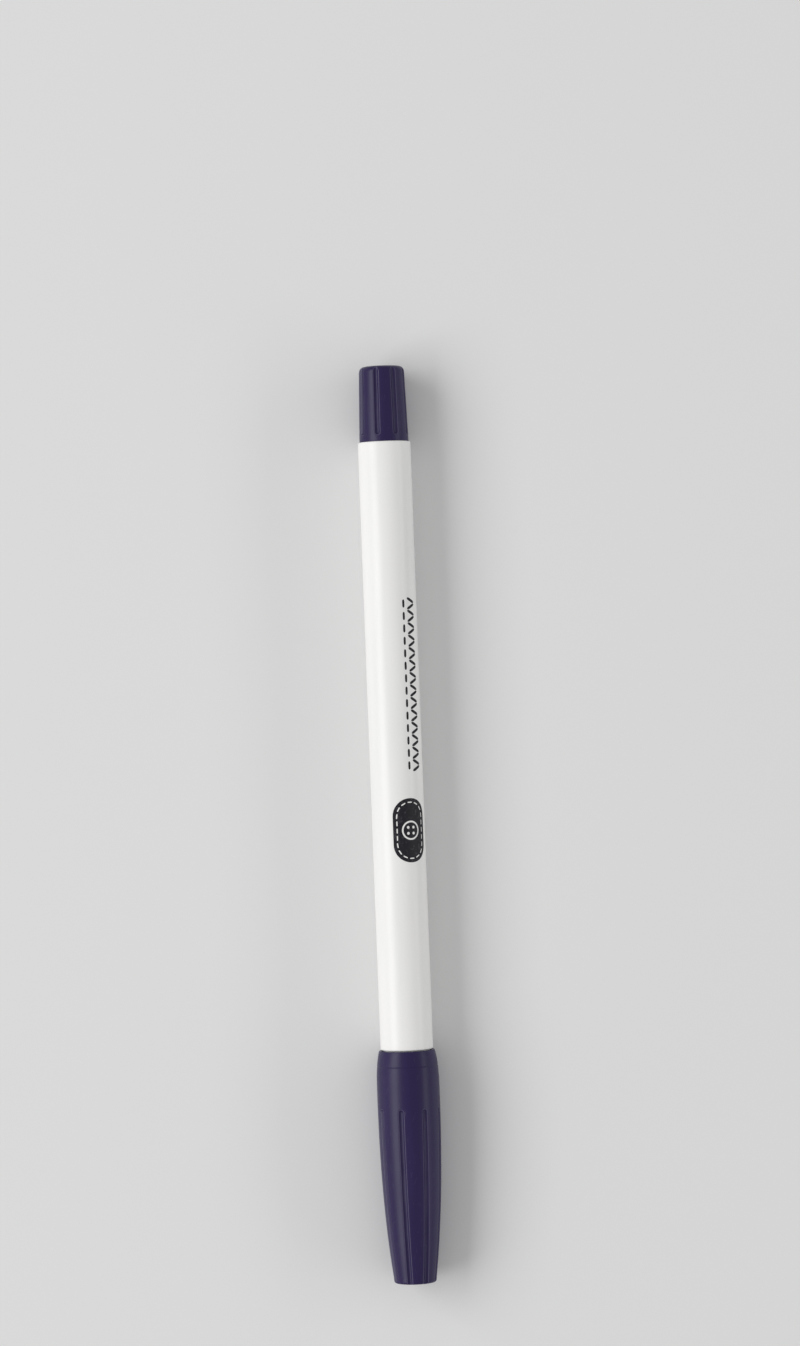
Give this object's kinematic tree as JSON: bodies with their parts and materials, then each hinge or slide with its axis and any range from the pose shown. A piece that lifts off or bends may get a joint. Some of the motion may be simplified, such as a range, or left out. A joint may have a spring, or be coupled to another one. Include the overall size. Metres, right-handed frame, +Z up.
{
  "type": "fabric marker pen",
  "caption": "Capped felt-tip fabric marker: a straight round barrel, a grooved pull-off cap that tapers to a flat end, and a grooved tail plug.",
  "frame": {"origin": "on the surface that the pen lies on, under the middle of its length and its axis", "axes": "+X along the pen's axis towards the capped tip, +Z up, +Y across the pen"},
  "size_m": [0.1478, 0.01, 0.0101],
  "materials": {
    "white_plastic": "satin moulded white plastic",
    "violet_plastic": "satin moulded dark violet plastic",
    "liner_plastic": "waxy natural plastic",
    "inked_felt": "pressed polyester felt wet with violet ink",
    "soaked_fibre": "bonded lengthwise fibre soaked in violet ink",
    "clear_film": "thin clear film",
    "print_ink": "near-black pad-printed ink, for the plain print on the barrel"
  },
  "bodies": {
    "pen": {"barrel": "white_plastic", "nose_section": "white_plastic", "nib": "inked_felt", "reservoir_core": "soaked_fibre", "reservoir_sleeve": "clear_film", "tail_plug": "violet_plastic"},
    "cap": {"cap_shell": "violet_plastic", "cap_liner": "liner_plastic"}
  },
  "joints": [
    {"name": "cap_pull", "type": "slide", "parent": "pen", "child": "cap", "axis": [1, 0, 0], "range_m": [0, 0.045]}
  ]
}
